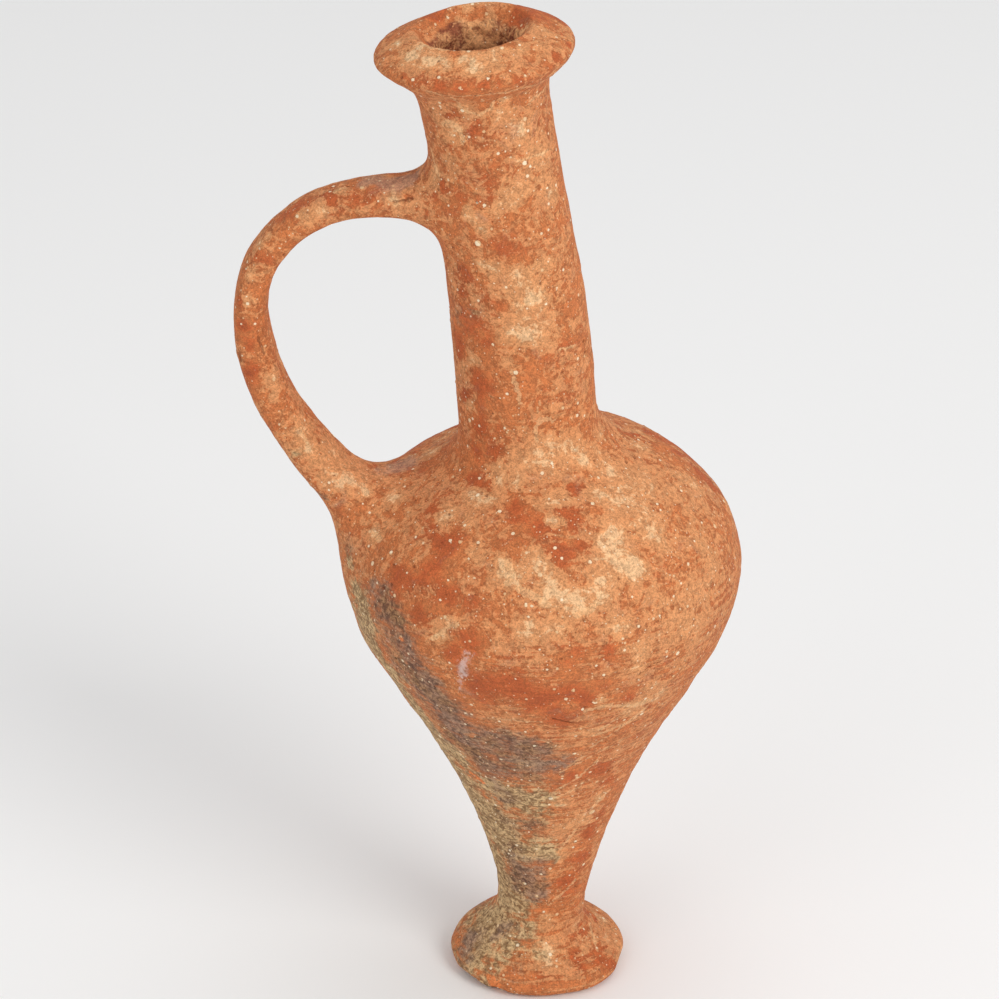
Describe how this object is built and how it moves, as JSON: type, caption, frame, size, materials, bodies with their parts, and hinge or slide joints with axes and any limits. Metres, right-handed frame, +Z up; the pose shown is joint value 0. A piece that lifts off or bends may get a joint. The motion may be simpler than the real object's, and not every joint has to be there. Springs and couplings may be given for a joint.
{
  "type": "one-handled pottery flask",
  "caption": "Tall-necked pottery flask with a pointed body on a small pedestal foot, a thick lip and one looped strap handle, for holding and pouring oil or other liquids.",
  "frame": {"origin": "centre of the foot's flat resting face", "axes": "+Z up through the body towards the neck; the handle is on the -X side, in the XZ plane; the neck leans towards -X"},
  "size_m": [0.1101, 0.0874, 0.2312],
  "materials": {
    "clay": "matte unglazed fired earthenware, worn",
    "luting_clay": "matte unglazed fired earthenware, finger-smoothed"
  },
  "bodies": {
    "root": {"foot": "clay", "foot_lute": "luting_clay", "lower_body": "clay", "shoulder": "clay", "neck_lute": "luting_clay", "neck": "clay", "lip": "clay", "handle": "clay", "handle_upper_lute": "luting_clay", "handle_lower_lute": "luting_clay"}
  },
  "joints": []
}
